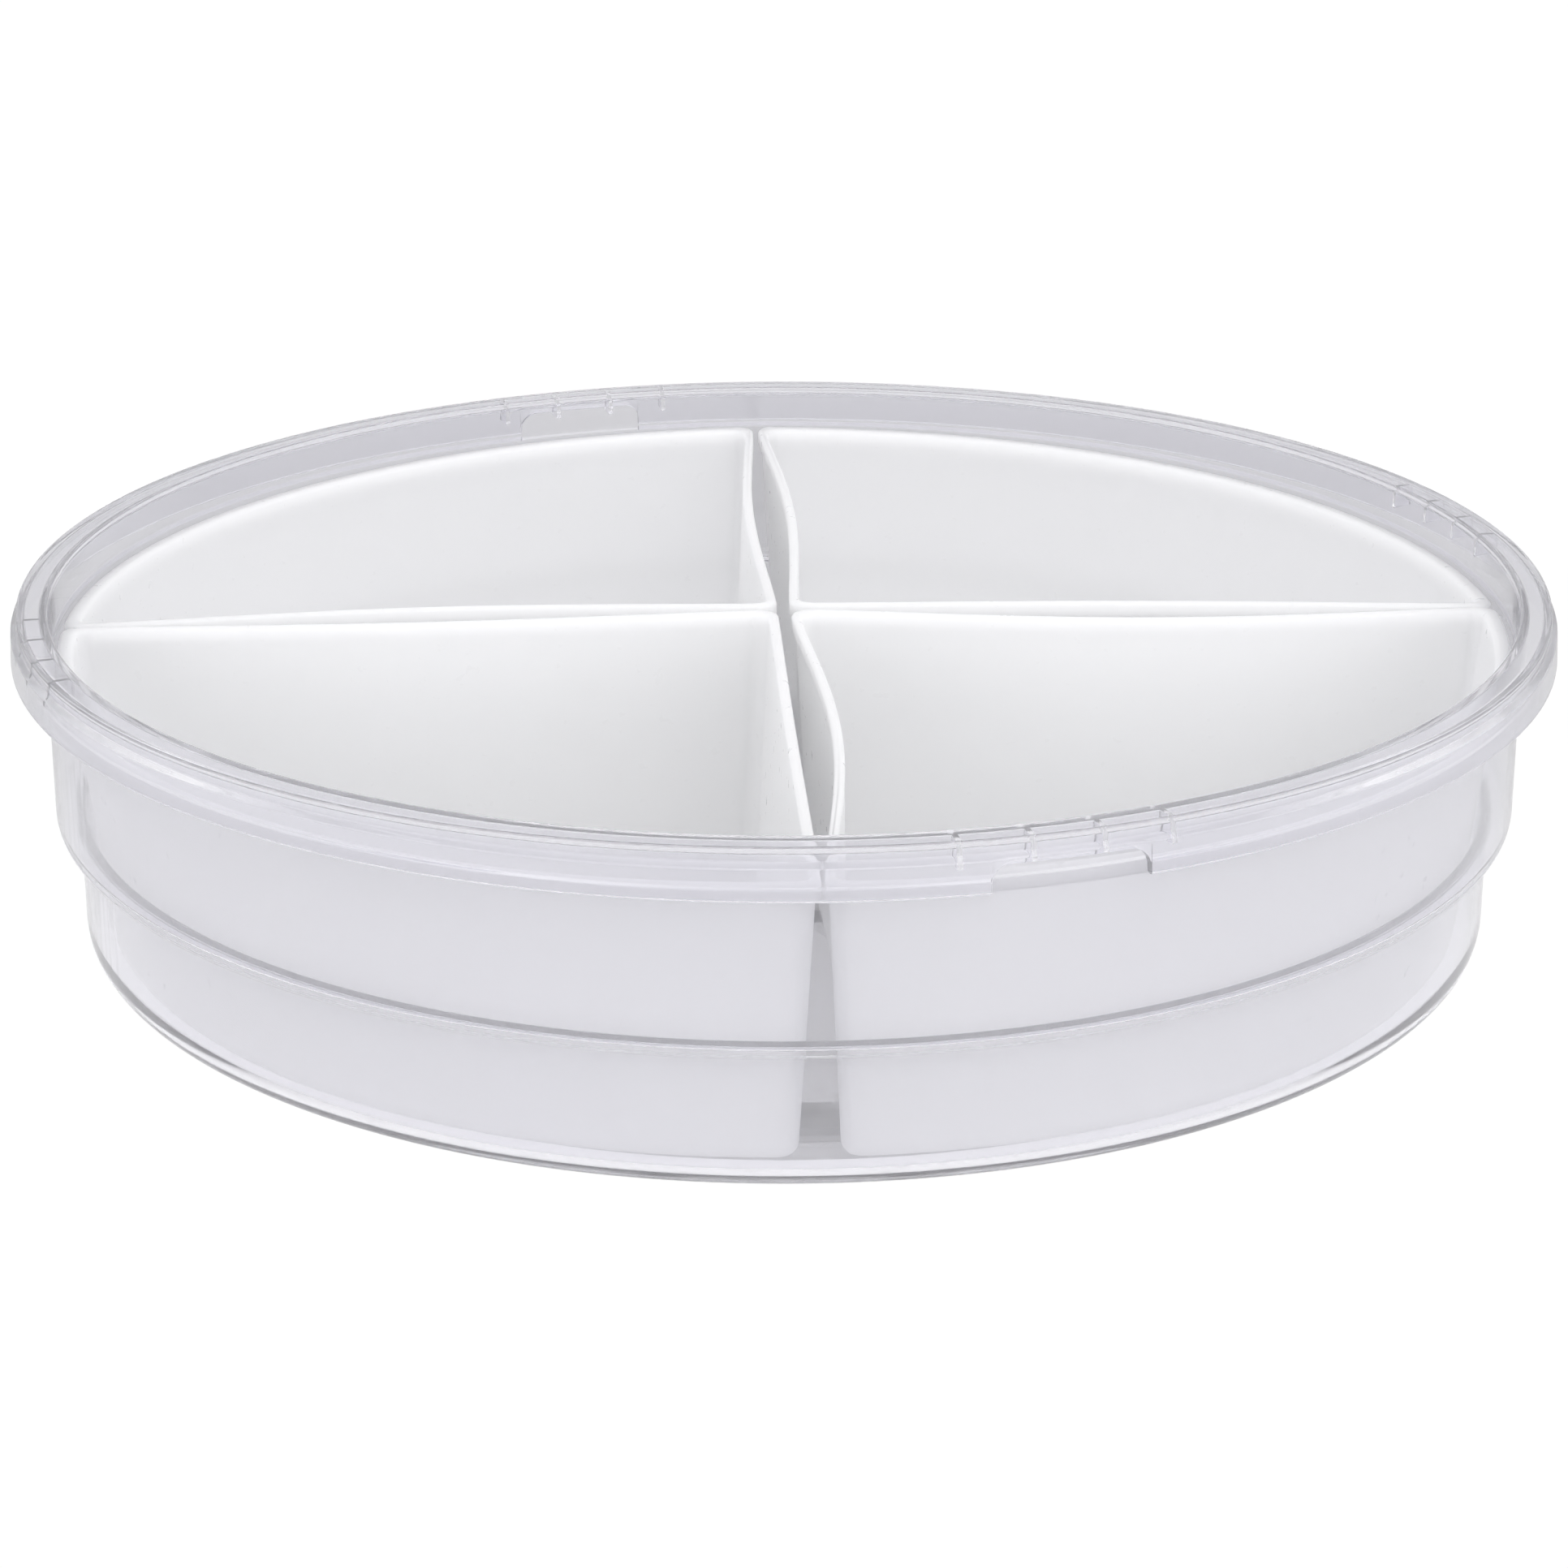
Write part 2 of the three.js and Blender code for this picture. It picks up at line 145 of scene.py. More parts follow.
BALL_COUNT = 12
BALL_R = 2.0
TRACK_R = 110.0
RACE_INNER = 2 * TRACK_R - RACE_OUTER
RACE_GROOVE = RACE_LOW + 0.65
CAGE_INNER = 2 * TRACK_R - CAGE_OUTER
POCKET_R = 2.35
BASE_HIGH = 2.8
BASE_EDGE_HIGH = 5.6
RAIL_HIGH = 3.6
GROOVE_LOW = 2.05
HUB_R = 11.5
HUB_HIGH = 7.2
BORE_R = 6.35
RIB_COUNT = 6
RIB_INNER, RIB_OUTER, RIB_WIDTH, RIB_HIGH = 11.0, 104.4, 1.6, 4.6
SPIGOT_R = 6.0
SPIGOT_END = 2.6
SCREW_HOLE_R, SCREW_HOLE_TOP = 1.9, 7.2
WASHER_HOLE_R = 2.1
WASHER_WELL_R = 9.3
SCREW_HEAD_R = 3.6
SCREW_SHANK_R = 1.5
SCREW_SHOULDER = 1.2
SCREW_PITCH = 1.1
FOOT_COUNT = 6
FOOT_R = 7.0
FOOT_RING = 99.0
FOOT_WELL_R = 7.4
FOOT_WELL_TOP = 1.6

# ---------------------------------------------------------------- mesh helpers


def arc_steps(radius):
    """Segments that round a corner of this radius."""
    return 2 if radius <= 0.3 else 4 if radius <= 1 else 6 if radius <= 2 else 12


def straight(start, end):
    """The support points just inside both ends of a straight stretch."""
    gap = end - start
    length = max(np.linalg.norm(gap), 1e-9)
    share = min(SUPPORT / length, 1 / 3)
    return [start + gap * share, end - gap * share]


def rounded(corners):
    """An open outline of (radius, height, rounding) corners with its corners rounded off."""
    points = np.array([c[:2] for c in corners], float)
    outline = [points[0]]
    for i in range(1, len(points) - 1):
        here, radius = points[i], corners[i][2]
        back, ahead = points[i - 1] - here, points[i + 1] - here
        length_back, length_ahead = np.linalg.norm(back), np.linalg.norm(ahead)
        back, ahead = back / length_back, ahead / length_ahead
        half = math.acos(np.clip(back @ ahead, -1, 1)) / 2
        run = min(radius / math.tan(half), 0.45 * length_back, 0.45 * length_ahead)
        start, end = here + back * run, here + ahead * run
        outline += straight(outline[-1], start)
        steps = arc_steps(radius)
        for k in range(steps + 1):
            t = k / steps
            outline.append((1 - t) ** 2 * start + 2 * t * (1 - t) * here + t * t * end)
    outline += straight(outline[-1], points[-1])
    outline.append(points[-1])
    return np.array(outline)


def cleaned(mesh):
    """The closed mesh with its double points merged and its faces pointing out."""
    work = bmesh.new()
    work.from_mesh(mesh)
    bmesh.ops.remove_doubles(work, verts=work.verts, dist=1e-6)
    if work.calc_volume(signed=True) < 0:
        bmesh.ops.reverse_faces(work, faces=work.faces)
    work.to_mesh(mesh)
    work.free()
    return mesh


def finished_object(name, mesh, sharp=38):
    """An object around a closed mesh, smooth up to the sharp angle."""
    mesh.polygons.foreach_set("use_smooth", [True] * len(mesh.polygons))
    mesh.set_sharp_from_angle(angle=math.radians(sharp))
    made = bpy.data.objects.new(name, mesh)
    bpy.context.scene.collection.objects.link(made)
    return made


def grid_mesh(name, grid, looped=False):
    """A mesh from points in millimetres, joined round along the first axis and, if looped, the second."""
    columns, rows = grid.shape[:2]
    index = np.arange(columns * rows).reshape(columns, rows)
    right = np.roll(index, -1, axis=0)
    up, right_up = np.roll(index, -1, axis=1), np.roll(right, -1, axis=1)
    quads = np.stack([index, right, right_up, up], axis=-1)
    if not looped:
        quads = quads[:, :-1]
    mesh = bpy.data.meshes.new(name)
    mesh.from_pydata((grid.reshape(-1, 3) * MM).tolist(), [], quads.reshape(-1, 4).tolist())
    return cleaned(mesh)


def lathe_grid(outlines, azimuths):
    """Grid of points for one outline of (radius, height) points, or one per azimuth."""
    turn = np.radians(np.asarray(azimuths))[:, None]
    outlines = np.broadcast_to(outlines, (len(azimuths), *np.shape(outlines)[-2:]))
    radius, height = outlines[..., 0], outlines[..., 1]
    return np.stack([radius * np.cos(turn), radius * np.sin(turn), height], axis=-1)


def turned(name, corners, segments=180, looped=False):
    """A lathed mesh. A looped outline closes on itself, and any other starts and ends on the axis."""
    outline = rounded([*corners, corners[0]]) if looped else rounded(corners)
    azimuths = np.arange(segments) * 360 / segments
    return grid_mesh(name, lathe_grid(outline[:-1] if looped else outline, azimuths), looped)


def joined(name, meshes):
    """One mesh that holds several."""
    work = bmesh.new()
    for mesh in meshes:
        work.from_mesh(mesh)
    mesh = bpy.data.meshes.new(name)
    work.to_mesh(mesh)
    work.free()
    return mesh


def block(name, size, place, turn=0.0):
    """A bevelled block of that size, moved to place and then turned about Z by degrees."""
    work = bmesh.new()
    bmesh.ops.create_cube(work, size=1)
    bmesh.ops.scale(work, vec=Vector(size) * MM, verts=work.verts)
    bmesh.ops.bevel(work, geom=work.edges, offset=0.25 * MM, segments=2, profile=0.5, affect="EDGES")
    bmesh.ops.translate(work, vec=Vector(place) * MM, verts=work.verts)
    bmesh.ops.rotate(work, matrix=Matrix.Rotation(math.radians(turn), 3, "Z"), verts=work.verts)
    mesh = bpy.data.meshes.new(name)
    work.to_mesh(mesh)
    work.free()
    return mesh


def moved(mesh, x, y, z=0.0):
    mesh.transform(Matrix.Translation(Vector((x, y, z)) * MM))
    return mesh


def combined(mesh, other, operation):
    """The mesh after a union or difference with another closed mesh."""
    pair = [bpy.data.objects.new("work", m) for m in (mesh, other)]
    for o in pair:
        bpy.context.scene.collection.objects.link(o)
    modifier = pair[0].modifiers.new("join", "BOOLEAN")
    modifier.operation, modifier.solver, modifier.object = operation, "MANIFOLD", pair[1]
    depsgraph = bpy.context.evaluated_depsgraph_get()
    result = bpy.data.meshes.new_from_object(pair[0].evaluated_get(depsgraph))
    for o in pair:
        bpy.data.objects.remove(o)
    return result


def ring_places(count, radius, start=0.0):
    angles = np.radians(start) + 2 * np.pi * np.arange(count) / count
    return [(radius * math.cos(a), radius * math.sin(a)) for a in angles]


# ---------------------------------------------------------------- material helpers


class Shader:
    """A new material's Principled shader with the node patterns that feed it."""

    def __init__(self, name, **values):
        self.material = bpy.data.materials.new(name)
        self.material.use_nodes = True
        self.nodes = self.material.node_tree.nodes
        self.links = self.material.node_tree.links
        self.principled = self.nodes["Principled BSDF"]
        for socket, value in values.items():
            self.principled.inputs[socket.replace("_", " ")].default_value = value
        self.place = self.nodes.new("ShaderNodeTexCoord").outputs["Object"]

    def feed(self, socket, source):
        self.links.new(source, self.principled.inputs[socket])

    def noise(self, scale, detail=3.0, stretch=(1, 1, 1)):
        mapping = self.nodes.new("ShaderNodeMapping")
        mapping.inputs["Scale"].default_value = stretch
        texture = self.nodes.new("ShaderNodeTexNoise")
        texture.inputs["Scale"].default_value = scale
        texture.inputs["Detail"].default_value = detail
        self.links.new(self.place, mapping.inputs["Vector"])
        self.links.new(mapping.outputs["Vector"], texture.inputs["Vector"])
        return texture.outputs["Fac"]

    def ranged(self, source, low, high, start=0.3, end=0.7):
        node = self.nodes.new("ShaderNodeMapRange")
        for socket, value in zip(("From Min", "From Max", "To Min", "To Max"), (start, end, low, high)):
            node.inputs[socket].default_value = value
        self.links.new(source, node.inputs["Value"])
        return node.outputs["Result"]

    def mixed(self, source, colour_a, colour_b):
        node = self.nodes.new("ShaderNodeMix")
        node.data_type = "RGBA"
        node.inputs["A"].default_value = (*colour_a, 1)
        node.inputs["B"].default_value = (*colour_b, 1)
        self.links.new(source, node.inputs["Factor"])
        return node.outputs["Result"]

    def bump(self, source, strength, depth, under=None):
        node = self.nodes.new("ShaderNodeBump")
        node.inputs["Strength"].default_value = strength
        node.inputs["Distance"].default_value = depth * MM
        self.links.new(source, node.inputs["Height"])
        if under is not None:
            self.links.new(under, node.inputs["Normal"])
        return node.outputs["Normal"]


def clear_tub_material():
    """Clear moulded plastic with a faint lilac tint and the slow waves of the melt's flow."""
    shader = Shader("clear_tub", Transmission_Weight=0.9, IOR=1.49)
    flow = shader.noise(18, 2)
    shader.feed("Base Color", shader.mixed(flow, (0.955, 0.95, 0.985), (0.968, 0.964, 0.99)))
    shader.feed("Roughness", shader.ranged(shader.noise(260, 4), 0.015, 0.05))
    return shader.material


def white_cup_material():
    """White semi-gloss plastic with a fine orange peel and a slow change of tone."""
    shader = Shader(
        "white_cup", Subsurface_Weight=1.0, Subsurface_Radius=(1, 1, 1), Subsurface_Scale=6 * MM,
        Specular_IOR_Level=0.35)
    tone = shader.noise(9, 2)
    shader.feed("Base Color", shader.mixed(tone, (0.983, 0.984, 0.987), (0.989, 0.989, 0.99)))
    shader.feed("Roughness", shader.ranged(shader.noise(420, 4), 0.27, 0.4))
    peel = shader.bump(shader.noise(900, 2), 0.12, 0.05)
    shader.feed("Normal", shader.bump(shader.noise(60, 1), 0.05, 0.2, peel))
    return shader.material


def base_plastic_material():
    """Frosted, translucent white plastic with a spark-eroded grain."""
    shader = Shader(
        "base_plastic", Transmission_Weight=0.7, IOR=1.3, Subsurface_Weight=1.0,
        Subsurface_Radius=(1, 1, 1), Subsurface_Scale=25 * MM)
    tone = shader.noise(14, 3)
    shader.feed("Base Color", shader.mixed(tone, (0.965, 0.965, 0.96), (0.975, 0.975, 0.97)))
    shader.feed("Roughness", shader.ranged(shader.noise(700, 3), 0.42, 0.58))
    shader.feed("Normal", shader.bump(shader.noise(1800, 3), 0.25, 0.06))
    return shader.material


def bearing_steel_material():
    """Ground and polished steel with hair scratches."""
    shader = Shader("bearing_steel", Metallic=1.0)
    scratch = shader.noise(500, 5, (1, 1, 6))
    shader.feed("Base Color", shader.mixed(scratch, (0.8, 0.81, 0.83), (0.88, 0.89, 0.91)))
    shader.feed("Roughness", shader.ranged(scratch, 0.1, 0.24))
    return shader.material


def zinc_steel_material():
    """Zinc plate: a dull silver with a crystalline mottle."""
    shader = Shader("zinc_steel", Metallic=1.0)
    mottle = shader.noise(320, 5)
    shader.feed("Base Color", shader.mixed(mottle, (0.8, 0.81, 0.83), (0.9, 0.905, 0.9)))
    shader.feed("Roughness", shader.ranged(mottle, 0.28, 0.45))
    shader.feed("Normal", shader.bump(shader.noise(1500, 3), 0.15, 0.03))
    return shader.material


def foot_rubber_material():
    """Pale grey soft rubber with a matt, slightly dusty skin."""
    shader = Shader("foot_rubber")
    dust = shader.noise(240, 5)
    shader.feed("Base Color", shader.mixed(dust, (0.5, 0.5, 0.5), (0.6, 0.595, 0.585)))
    shader.feed("Roughness", shader.ranged(dust, 0.7, 0.9))
    shader.feed("Normal", shader.bump(shader.noise(1400, 4), 0.4, 0.08))
    return shader.material


MATERIALS = {
    "clear_tub": clear_tub_material(),
    "white_cup": white_cup_material(),
    "base_plastic": base_plastic_material(),
    "bearing_steel": bearing_steel_material(),
    "zinc_steel": zinc_steel_material(),
    "foot_rubber": foot_rubber_material(),
}


def fit_piece(name, mesh, node, body, slot, sharp=38):
    """Puts a finished piece in the place of its CAD node, riding on that node's body."""
    piece = finished_object(name, mesh, sharp)
    piece.data.materials.clear()
    piece.data.materials.append(MATERIALS[slot])
    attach(piece, body)
    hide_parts(node)
    return piece


# ---------------------------------------------------------------- tub


def tub_outline(ceiling_depth, skirt_depth):
    """Section of the tub where the channel under the rim and the skirt have these depths."""
    floor_top = TUB_BASE_Z + FLOOR
    upper_inside, lower_inside = UPPER_R - UPPER_WALL, LOWER_R - LOWER_WALL
    skirt_slope = (SKIRT_R - RIM_R) / (SKIRT_DEPTH - SHEET)

    def inside_skirt(depth):
        return RIM_R - SHEET + skirt_slope * (depth - SHEET)

    lip_r = inside_skirt(skirt_depth) + SHEET
    return rounded([
        (0, SCREW_HOLE_TOP, 0),
        (SCREW_HOLE_R, SCREW_HOLE_TOP, 0.2),
        (SCREW_HOLE_R, SPIGOT_END, 0.3),
        (SPIGOT_R, SPIGOT_END, 0.5),
        (SPIGOT_R, TUB_BASE_Z, 0.5),
        (LOWER_R, TUB_BASE_Z, FOOT_RADIUS),
        (LOWER_R, STEP_Z, 0.9),
        (UPPER_R, STEP_Z, 0.9),
        (UPPER_R, HEIGHT - SKIRT_DEPTH, 0.5),
        (UPPER_R + 0.6, HEIGHT - SKIRT_DEPTH + 1, 0.3),
        (UPPER_R + 0.6, HEIGHT - min(ceiling_depth, SKIRT_DEPTH - 1.4), 0.3),
        (inside_skirt(ceiling_depth), HEIGHT - ceiling_depth, 0.3),
        (inside_skirt(skirt_depth), HEIGHT - skirt_depth, 0.3),
        (lip_r, HEIGHT - skirt_depth, 0.4),
        (SKIRT_R - 0.3, HEIGHT - min(3.4, skirt_depth - 0.6), 0.6),
        (RIM_R, HEIGHT - 2.4, 0.6),
        (RIM_R, HEIGHT, 0.6),
        (MOUTH_R, HEIGHT, 0.5),
        (upper_inside, HEIGHT - MOUTH_DEPTH, 2.0),
        (upper_inside, STEP_Z + 1.4, 0.6),
        (lower_inside, STEP_Z + 1.4, 0.8),
        (lower_inside, floor_top, FOOT_RADIUS - 0.5),
        (BOSS_R + 1, floor_top, 0.6),
        (BOSS_R, floor_top + BOSS_HIGH, 0.6),
        (0, floor_top + BOSS_HIGH, 0),
    ])


def notch_depth(across):
    """Skirt depth inside a notch at a distance in millimetres from its middle."""
    half_width = SKIRT_R * math.sin(math.radians(NOTCH_HALF_ANGLE))
    into_corner = max(abs(across) - (half_width - NOTCH_CORNER), 0)
    return NOTCH_TOP_DEPTH + NOTCH_CORNER - math.sqrt(max(NOTCH_CORNER ** 2 - into_corner ** 2, 0))


def station_columns(notched):
    """Columns around one station as (offset in degrees, channel depth, skirt depth)."""
    half_web = math.degrees(WEB_THICK / 2 / RIM_R)
    lean = math.degrees(WEB_LEAN / RIM_R)
    marks = [(o - half_web, o + half_web, WEB_DEPTH) for o in WEB_OFFSETS]

    def depths(offset):
        ceiling = max([SHEET] + [depth for low, high, depth in marks if low < offset < high])
        if not notched or abs(offset) >= NOTCH_HALF_ANGLE:
            return offset, ceiling, SKIRT_DEPTH
        return offset, ceiling, notch_depth(SKIRT_R * math.sin(math.radians(offset)))

    edges = [edge for low, high, _ in marks for edge in (low, high)]
    edges += [-NOTCH_HALF_ANGLE, NOTCH_HALF_ANGLE]
    corner = math.degrees(NOTCH_CORNER / SKIRT_R)
    offsets = [edge + side * lean / 2 for edge in edges for side in (-1, 1)]
    for k in range(1, 9):
        inside = NOTCH_HALF_ANGLE - corner * (1 - math.cos(math.pi / 2 * k / 8))
        offsets += [-inside, inside]
    offsets += PLAIN_OFFSETS
    return [depths(offset) for offset in sorted(offsets)]


def tub_columns():
    """All the tub's columns in order: close together at the stations and evenly spaced between."""
    columns = []
    for azimuth, notched in STATIONS:
        station = station_columns(notched)
        reach = station[-1][0]
        between = int(round((90 - 2 * reach) / COLUMN_PITCH))
        columns += [(azimuth + offset, ceiling, skirt) for offset, ceiling, skirt in station]
        for k in range(1, between):
            columns.append((azimuth + reach + (90 - 2 * reach) * k / between, SHEET, SKIRT_DEPTH))
    return columns


def make_tub():
    columns = tub_columns()
    outlines = np.array([tub_outline(ceiling, skirt) for _, ceiling, skirt in columns])
    mesh = grid_mesh("tub_body", lathe_grid(outlines, [azimuth for azimuth, _, _ in columns]))
    return fit_piece("tub_body", mesh, "tub", "tub", "clear_tub")


# ---------------------------------------------------------------- cups


def half_wedge(arc_inset, side_inset, bow):
    """One half of a cup's outline, from its tip to the middle of its arc.

    The first coordinate runs along the division line and the second away from it.
    """
    across, across_arc = HALF_GAP_TIP + side_inset, HALF_GAP_ARC + side_inset
    arc_r = CUP_RIM_R - arc_inset
    corner = max(CUP_CORNER - side_inset / 2, 2)
    corner_across = across_arc + corner
    corner_along = math.sqrt((arc_r - corner) ** 2 - corner_across ** 2)
    tip_along = across + CUP_TIP
    lean = math.atan2(corner_across, corner_along)
    d = np.radians(np.linspace(45, 0, 8, endpoint=False))
    tip = np.stack([tip_along - CUP_TIP * np.sin(d), across + CUP_TIP - CUP_TIP * np.cos(d)], 1)
    t = np.linspace(0, 1, 56, endpoint=False)
    bowed = across + (across_arc - across) * t + bow * np.sin(np.pi * t) ** BOW_POWER
    side = np.stack([tip_along + (corner_along - tip_along) * t, bowed], 1)
    a = np.linspace(-np.pi / 2, lean, 12, endpoint=False)
    turn = np.stack([corner_along + corner * np.cos(a), corner_across + corner * np.sin(a)], 1)
    b = np.linspace(lean, np.pi / 4, 36, endpoint=False)
    arc = np.stack([arc_r * np.cos(b), arc_r * np.sin(b)], 1)
    return np.concatenate([tip, side, turn, arc])


def wedge(arc_inset, side_inset, fade, bow_cw, bow_ccw):
    """A quarter wedge that opens about +X, as a closed ring of points."""
    lower = half_wedge(arc_inset, side_inset, bow_cw * fade)
    upper = half_wedge(arc_inset, side_inset, bow_ccw * fade) * (1, -1)
    middle = np.array([[(CUP_RIM_R - arc_inset) * math.sqrt(0.5)] * 2])
    turn = math.sqrt(0.5) * np.array([[1, -1], [1, 1]])
    lower = np.concatenate([lower, middle]) @ turn
    return np.concatenate([lower, (upper[1:] @ turn.T)[::-1]])


def cup_section():
    """The cup's section as (height, inset of arc and sides, share of the bow), from underside to floor."""
    wall_low, wall_high = CUP_BOTTOM + CUP_FOOT, CUP_TOP - CUP_RIM_DEPTH

    def wall(z, extra):
        h = np.clip((z - wall_low) / (wall_high - wall_low), 0, 1)
        return z, WALL_FOOT_INSET + (WALL_TOP_INSET - WALL_FOOT_INSET) * h + extra, 0.5 + 0.5 * h

    def bottom(radius, floor, extra, angles):
        return [wall(floor + radius * (1 - math.cos(a)), extra + radius * (1 - math.sin(a)))
                for a in angles]

    def rim(z, share, extra=0.0):
        return z, WALL_TOP_INSET * share + extra, 1.0

    quarter = np.linspace(0, np.pi / 2, 9)
    inner_floor = CUP_BOTTOM + CUP_WALL
    lip_low = CUP_TOP - CUP_RIM_DEPTH
    crown = [rim(CUP_TOP - RIM_EDGE * (1 - math.sin(a)), 0, RIM_EDGE * (1 - math.cos(a)))
             for a in quarter]
    inner_lip = [rim(CUP_TOP - RIM_ROLL * (1 - math.cos(a)), 1, CUP_WALL - RIM_ROLL * (1 - math.sin(a)))
                 for a in quarter]
    return [
        *bottom(CUP_FOOT, CUP_BOTTOM, 0, quarter),
        *[wall(z, 0) for z in np.linspace(wall_low, wall_high - 0.5, 12)[1:]],
        rim(lip_low - 0.12, 1, -0.1),
        rim(lip_low, 0.86),
        rim(lip_low, 0.2),
        rim(lip_low + 0.1, 0.05),
        rim(lip_low + 0.35, 0),
        *crown,
        *inner_lip,
        *[wall(z, CUP_WALL) for z in np.linspace(CUP_TOP - 2, wall_low, 14)[:-1]],
        *bottom(CUP_FOOT - CUP_WALL, inner_floor, CUP_WALL, quarter[::-1]),
    ]


def shrunk_rings(ring, shares):
    """Copies of a flat ring drawn in towards its middle, which fill a cup's floor or underside."""
    middle = ring.mean(0)
    return [middle + (ring - middle) * share for share in shares]


def cup_placing(azimuth):
    """Tilts a level cup that opens about +X on its foot and turns it to its azimuth."""
    foot = Vector((CUP_PIVOT_R, 0, CUP_BOTTOM)) * MM
    tilt = Matrix.Rotation(math.radians(CUP_TILT), 4, "Y")
    turn = Matrix.Rotation(math.radians(azimuth), 4, "Z")
    return turn @ Matrix.Translation(foot) @ tilt @ Matrix.Translation(-foot)


def make_cup(node, azimuth, turn, bow_cw, bow_ccw):
    rings = []
    for z, inset, fade in cup_section():
        flat = wedge(inset[0], inset[1], fade, bow_cw, bow_ccw)
        rings.append(np.column_stack([flat, np.full(len(flat), z)]))
    shares = (0, 0.3, 0.6, 0.85, 0.97)
    rings = [*shrunk_rings(rings[0], shares), *rings, *shrunk_rings(rings[-1], shares[::-1])]
    grid = np.stack(rings, axis=1)
    mesh = grid_mesh(node + "_body", grid)
    mesh.transform(cup_placing(azimuth + turn))
    return fit_piece(node + "_body", mesh, node, node, "white_cup")


# ---------------------------------------------------------------- bearing


def make_race():
    mesh = turned("race_ring", [
        (RACE_INNER, RACE_LOW, 0.2),
        (TRACK_R - 2, RACE_LOW, 0.3),
        (TRACK_R - 0.9, RACE_GROOVE - 0.1, 0.8),
        (TRACK_R + 0.9, RACE_GROOVE - 0.1, 0.8),
        (TRACK_R + 2, RACE_LOW, 0.3),
        (RACE_OUTER, RACE_LOW, 0.3),
        (RACE_OUTER, RACE_HIGH, 0.2),
        (RACE_INNER, RACE_HIGH, 0.2),
    ], looped=True)
    return fit_piece("race_ring", mesh, "upper_race", "tub", "base_plastic")


def make_cage():
    ring = turned("cage_ring", [
        (CAGE_INNER, CAGE_LOW, 0.2),
        (CAGE_OUTER, CAGE_LOW, 0.2),
        (CAGE_OUTER, CAGE_HIGH, 0.2),
        (CAGE_INNER, CAGE_HIGH, 0.2),
    ], looped=True)
    pockets = []
    for x, y in ring_places(BALL_COUNT, TRACK_R):
        pocket = turned("pocket", [(0, 0, 0), (POCKET_R, 0, 0.1), (POCKET_R, 4, 0.1), (0, 4, 0)], 40)
        pockets.append(moved(pocket, x, y, CAGE_LOW - 1.5))
    mesh = combined(ring, joined("pockets", pockets), "DIFFERENCE")
    return fit_piece("cage_ring", mesh, "ball_cage", "cage", "base_plastic")


def make_balls():
    middle = (CAGE_LOW + CAGE_HIGH) / 2
    latitudes = np.radians(np.linspace(-90, 90, 25))
    outline = np.stack([BALL_R * np.cos(latitudes), BALL_R * np.sin(latitudes)], 1)
    for n, (x, y) in enumerate(ring_places(BALL_COUNT, TRACK_R), 1):
        grid = lathe_grid(outline, np.arange(48) * 7.5)
        mesh = moved(grid_mesh(f"bearing_ball_{n:02d}", grid), x, y, middle)
        fit_piece(f"bearing_ball_{n:02d}", mesh, f"ball_{n:02d}", "cage", "bearing_steel")


# ---------------------------------------------------------------- base and pivot


def make_base():
    plate = turned("base_body", [
        (BORE_R, SPIGOT_END, 0.2),
        (WASHER_WELL_R, SPIGOT_END, 0.2),
        (WASHER_WELL_R, BASE_LOW, 0.4),
        (BASE_R, BASE_LOW, 1.2),
        (BASE_R, BASE_EDGE_HIGH, 0.6),
        (BASE_R - 1.5, BASE_EDGE_HIGH, 0.6),
        (BASE_R - 1.5, BASE_HIGH, 0.6),
        (TRACK_R + 3.8, BASE_HIGH, 0.2),
        (TRACK_R + 3.8, RAIL_HIGH, 0.3),
        (TRACK_R + 2.3, RAIL_HIGH, 0.3),
        (TRACK_R + 0.9, GROOVE_LOW + 0.1, 0.8),
        (TRACK_R - 0.9, GROOVE_LOW + 0.1, 0.8),
        (TRACK_R - 2.3, RAIL_HIGH, 0.3),
        (TRACK_R - 3.8, RAIL_HIGH, 0.3),
        (TRACK_R - 3.8, BASE_HIGH, 0.2),
        (HUB_R, BASE_HIGH, 0.8),
        (HUB_R, HUB_HIGH, 0.5),
        (BORE_R, HUB_HIGH, 0.4),
    ], looped=True)
    length = RIB_OUTER - RIB_INNER
    size = (length, RIB_WIDTH, RIB_HIGH - BASE_HIGH + 0.5)
    place = ((RIB_INNER + RIB_OUTER) / 2, 0, (RIB_HIGH + BASE_HIGH - 0.5) / 2)
    ribs = [block("rib", size, place, 360 * n / RIB_COUNT) for n in range(RIB_COUNT)]
    wells = []
    for x, y in ring_places(FOOT_COUNT, FOOT_RING, 30):
        well = turned("well", [(0, -1, 0), (FOOT_WELL_R, -1, 0.1), (FOOT_WELL_R, 1, 0.3), (0, 1, 0)], 64)
        wells.append(moved(well, x, y, FOOT_WELL_TOP - 1))
    mesh = combined(plate, joined("ribs", ribs), "UNION")
    mesh = combined(mesh, joined("wells", wells), "DIFFERENCE")
    return fit_piece("base_body", mesh, "base_plate", "base", "base_plastic")


def make_feet():
    for n, (x, y) in enumerate(ring_places(FOOT_COUNT, FOOT_RING, 30), 1):
        corners = [(0, 0, 0)]
        for groove in (2.2, 4.2):
            corners += [(groove, 0, 0.1), (groove + 0.15, 0.3, 0.1)]
            corners += [(groove + 0.65, 0.3, 0.1), (groove + 0.8, 0, 0.1)]
        corners += [(FOOT_R, 0, 0.5), (FOOT_R, FOOT_HIGH, 0.2), (0, FOOT_HIGH, 0)]
        mesh = moved(turned(f"foot_pad_{n}", corners, 72), x, y)
        fit_piece(f"foot_pad_{n}", mesh, f"foot_{n}", "base", "foot_rubber")


